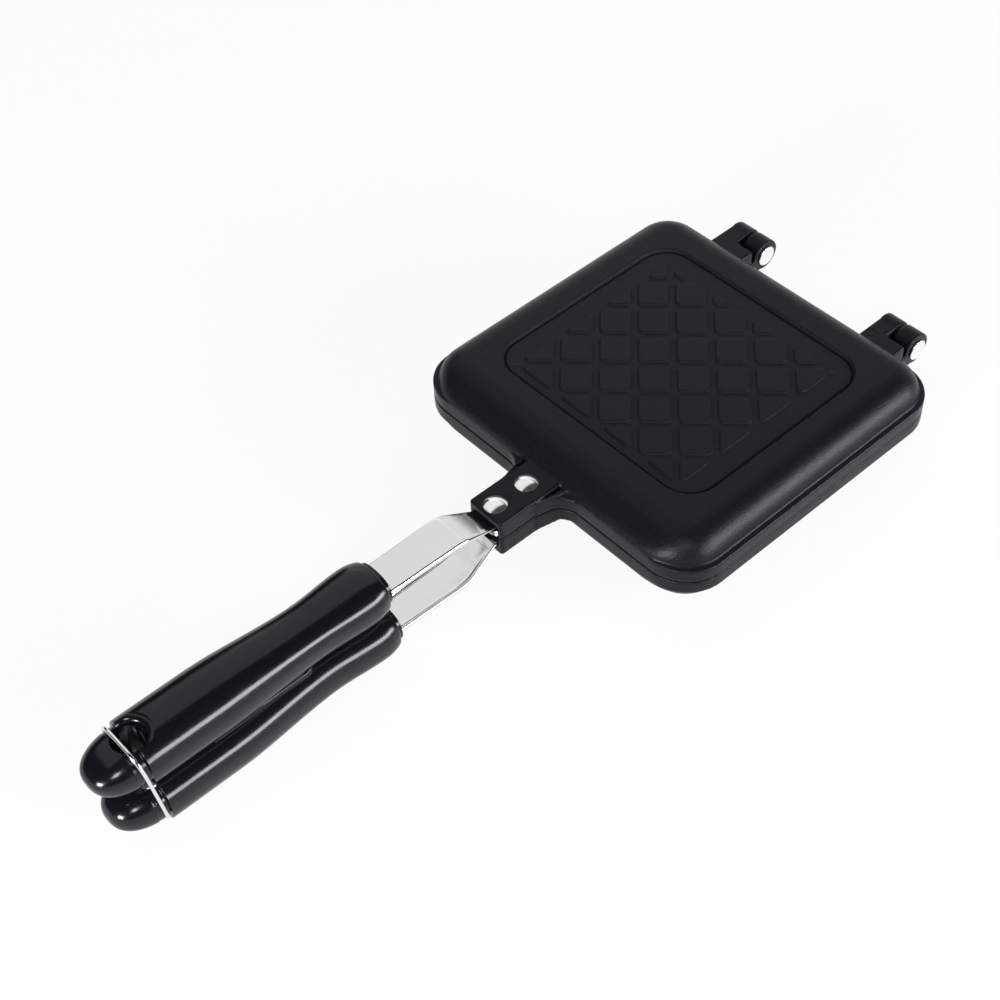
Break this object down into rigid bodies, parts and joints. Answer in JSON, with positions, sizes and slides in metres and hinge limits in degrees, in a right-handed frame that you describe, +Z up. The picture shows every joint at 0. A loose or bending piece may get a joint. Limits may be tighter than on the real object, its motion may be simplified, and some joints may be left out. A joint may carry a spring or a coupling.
{
  "type": "pie iron",
  "caption": "Square two-pan pie iron: lattice-panelled shells hinged at one side, riveted steel shanks, moulded grips and a swinging wire clip.",
  "frame": {"origin": "centre of the lower pan's flat underside, halfway between the rims", "axes": "+Z up through the shut pans, +X towards the hinges with the handle along -X, +Y across the pans to the left seen from the handle"},
  "size_m": [0.39, 0.159, 0.0487],
  "materials": {
    "coated_aluminium": "black non-stick coating, satin",
    "pin_aluminium": "bright",
    "rivet_aluminium": "bright",
    "shank_steel": "polished",
    "grip_plastic": "glossy thermoset",
    "screw_steel": "zinc plated",
    "wire_steel": "plated spring wire"
  },
  "bodies": {
    "base": {"lower_pan": "coated_aluminium", "lower_shank": "shank_steel", "lower_grip": "grip_plastic", "lower_front_rivet": "rivet_aluminium", "lower_rear_rivet": "rivet_aluminium", "lower_grip_screw": "screw_steel", "left_hinge_pin": "pin_aluminium", "right_hinge_pin": "pin_aluminium"},
    "lid": {"upper_pan": "coated_aluminium", "upper_shank": "shank_steel", "upper_grip": "grip_plastic", "upper_front_rivet": "rivet_aluminium", "upper_rear_rivet": "rivet_aluminium", "upper_grip_screw": "screw_steel"},
    "clip": {"wire_clip": "wire_steel"}
  },
  "joints": [
    {"name": "lid_hinge", "type": "hinge", "parent": "base", "child": "lid", "pos_m": [0.0924, 0, 0.0178], "axis": [0, 1, 0], "range_deg": [0, 180]},
    {"name": "clip_swing", "type": "hinge", "parent": "base", "child": "clip", "pos_m": [-0.2707, 0, 0.0028], "axis": [0, -1, 0], "range_deg": [0, 190]}
  ]
}
